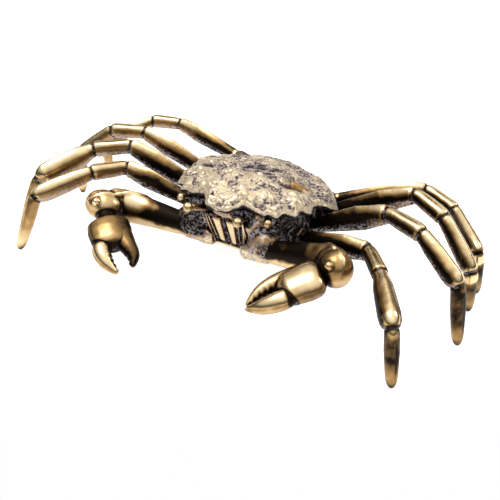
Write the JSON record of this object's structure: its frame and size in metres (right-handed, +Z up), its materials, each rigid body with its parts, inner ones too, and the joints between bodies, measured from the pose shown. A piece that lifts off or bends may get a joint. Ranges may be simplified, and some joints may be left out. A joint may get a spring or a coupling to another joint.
{
  "type": "crab figurine",
  "caption": "Small cast brass crab ornament on jointed-looking walking legs, with a warty shell and two folded claws held in front.",
  "frame": {"origin": "middle of the object's box, at the height of the flat toe tips", "axes": "+X towards the crab's own left side, -Y the way the crab looks, +Z up"},
  "size_m": [0.0774, 0.0378, 0.016],
  "materials": {
    "antique_brass": "cast brass with a brown-black patina, buffed bright on the high points",
    "speckled_brass": "rough cast grain, black speckle in the hollows and pale buffed warts"
  },
  "bodies": {
    "root": {"belly_flap": "antique_brass", "body": "antique_brass", "claw_arm_left": "antique_brass", "claw_arm_right": "antique_brass", "claw_finger_left": "antique_brass", "claw_finger_right": "antique_brass", "claw_hand_left": "antique_brass", "claw_hand_right": "antique_brass", "eye_left": "antique_brass", "eye_right": "antique_brass", "feeler_knob_left": "antique_brass", "feeler_knob_right": "antique_brass", "leg_1_left": "antique_brass", "leg_1_right": "antique_brass", "leg_2_left": "antique_brass", "leg_2_right": "antique_brass", "leg_3_left": "antique_brass", "leg_3_right": "antique_brass", "leg_4_left": "antique_brass", "leg_4_right": "antique_brass", "mouth_plate_left": "antique_brass", "mouth_plate_right": "antique_brass", "shell": "speckled_brass"}
  },
  "joints": []
}
